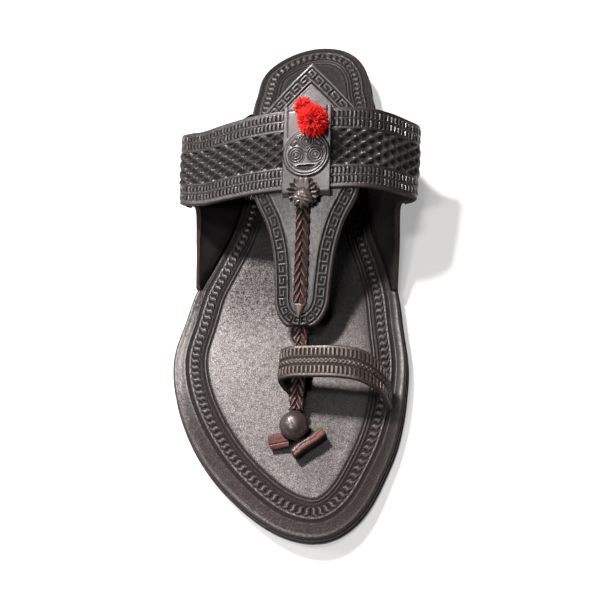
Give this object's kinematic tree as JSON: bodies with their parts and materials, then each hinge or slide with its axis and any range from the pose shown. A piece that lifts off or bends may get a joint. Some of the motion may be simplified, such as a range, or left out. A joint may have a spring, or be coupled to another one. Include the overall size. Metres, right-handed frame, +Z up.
{
  "type": "kolhapuri sandal",
  "caption": "Right-foot leather toe-ring sandal: flat layered sole, eared instep band, kite tongue, braided thong and red pompom.",
  "frame": {"origin": "on the floor, under the middle of the sandal's box", "axes": "+X towards the big toe side, +Y towards the heel, +Z up"},
  "size_m": [0.1206, 0.2774, 0.0783],
  "materials": {
    "sole_leather": "stacked vegetable-tanned leather, edges stained dark brown and burnished",
    "insole_leather": "dark brown polished leather with a fine grain and a stamped rope border",
    "upper_leather": "dark brown-black embossed leather with a soft grey sheen",
    "ring_leather": "dark brown stamped leather, reddish where it is worn",
    "braid_leather": "dark reddish-brown leather strips, rough at the cut edges",
    "pompom_wool": "bright red cut wool yarn"
  },
  "bodies": {
    "root": {"heel": "sole_leather", "outsole": "sole_leather", "midsole": "sole_leather", "insole": "insole_leather", "ear_lateral": "upper_leather", "ear_medial": "upper_leather", "upper": "upper_leather", "centre_tab": "upper_leather", "rosette": "upper_leather", "rosette_knot": "braid_leather", "braid_instep": "braid_leather", "braid_toe": "braid_leather", "toe_ring": "ring_leather", "toe_bead": "braid_leather", "knot_end_medial": "braid_leather", "knot_end_lateral": "braid_leather", "pompom": "pompom_wool"}
  },
  "joints": []
}
